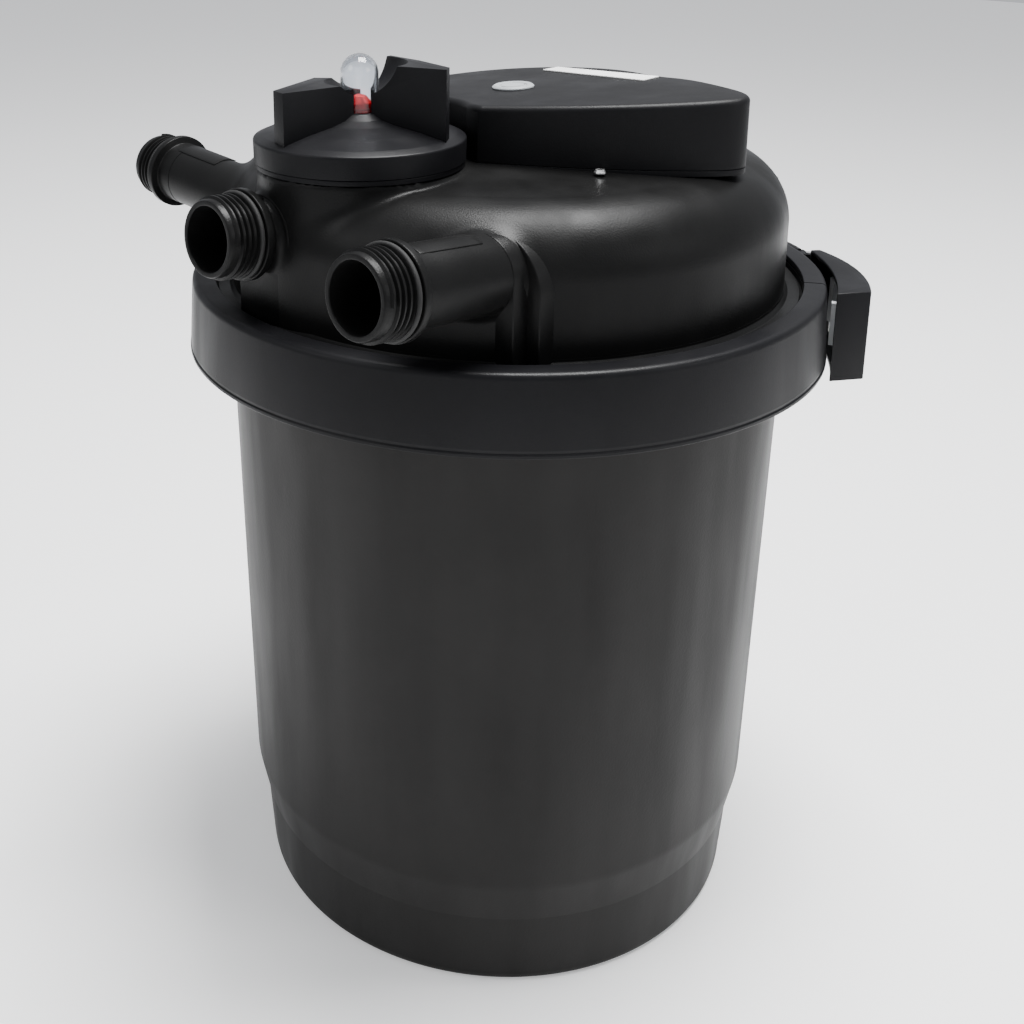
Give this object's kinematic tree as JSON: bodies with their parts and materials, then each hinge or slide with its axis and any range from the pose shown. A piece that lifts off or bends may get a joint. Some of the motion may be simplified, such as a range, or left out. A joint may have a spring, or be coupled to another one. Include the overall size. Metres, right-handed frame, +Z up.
{
  "type": "pond canister filter",
  "caption": "Pressure canister filter for a pond: bucket with clamp ring and lever, domed lid with hose ports, selector knob, UV lamp box on top.",
  "frame": {"origin": "centre of the bucket's foot, on the surface it stands on", "axes": "+Z up the filter's axis; two hose ports point along -Y and the third along -X"},
  "size_m": [0.4192, 0.4279, 0.566],
  "materials": {
    "bucket_black": "satin moulded, lightly scratched",
    "lid_black": "satin moulded with a fine grain",
    "clamp_black": "satin, slightly bluish",
    "box_black": "satin",
    "rubber_black": "matte",
    "clear_glass": "clear",
    "float_red": "gloss",
    "light_grey": "satin",
    "plate_white": "satin film",
    "steel": "brushed",
    "lamp_glass": "gloss",
    "foam_blue": "open-cell foam",
    "foam_green": "open-cell foam",
    "inner_grey": "matte"
  },
  "bodies": {
    "root": {"container": "bucket_black", "clamp_ring": "clamp_black", "pivot_bracket": "clamp_black", "catch_bracket": "light_grey", "lever_pin": "steel", "lid": "lid_black", "port_seal_a": "rubber_black", "port_seal_b": "rubber_black", "port_seal_c": "rubber_black", "lid_seal": "rubber_black", "valve_collar": "clamp_black", "uv_box_base": "box_black", "uv_box_cover": "box_black", "lamp_window": "light_grey", "rating_plate": "plate_white", "cable_gland": "light_grey", "gland_nut": "light_grey", "lamp_holder": "plate_white", "quartz_sleeve": "clear_glass", "uv_lamp": "lamp_glass", "sleeve_seal": "rubber_black", "sleeve_nut": "inner_grey", "ballast": "steel", "riser_tube": "inner_grey", "lower_grid": "inner_grey", "upper_grid": "inner_grey", "foam_ring_1": "foam_blue", "foam_ring_2": "foam_blue", "foam_ring_3": "foam_green", "foam_ring_4": "foam_green", "lid_screw": "steel", "cable_clip": "box_black"},
    "knob": {"selector_knob": "clamp_black", "valve_rotor": "inner_grey", "rotor_seal_upper": "rubber_black", "rotor_seal_lower": "rubber_black", "sight_glass": "clear_glass", "indicator_spring": "steel"},
    "indicator": {"indicator_float": "float_red"},
    "lever": {"clamp_lever": "clamp_black", "link_pin": "steel"},
    "link": {"clamp_link": "light_grey"}
  },
  "joints": [
    {"name": "knob_turn", "type": "hinge", "parent": "root", "child": "knob", "pos_m": [-0.0101, -0.1159, 0.5], "axis": [0, 0, 1], "range_deg": [0, 90]},
    {"name": "indicator_rise", "type": "slide", "parent": "knob", "child": "indicator", "axis": [0, 0, 1], "range_m": [0, 0.012], "stiffness_N_per_m": 30, "springref_m": -0.001, "deforming": ["indicator_spring"]},
    {"name": "lever_swing", "type": "hinge", "parent": "root", "child": "lever", "pos_m": [0.11976, 0.17104, 0.4], "axis": [0, 0, 1], "range_deg": [0, 100]},
    {"name": "link_swing", "type": "hinge", "parent": "lever", "child": "link", "pos_m": [0.15322, 0.14796, 0.4], "axis": [0, 0, 1], "range_deg": [-100, 0]}
  ],
  "couplings": [
    {"joint": "link_swing", "follows": "lever_swing", "ratio": -1}
  ]
}
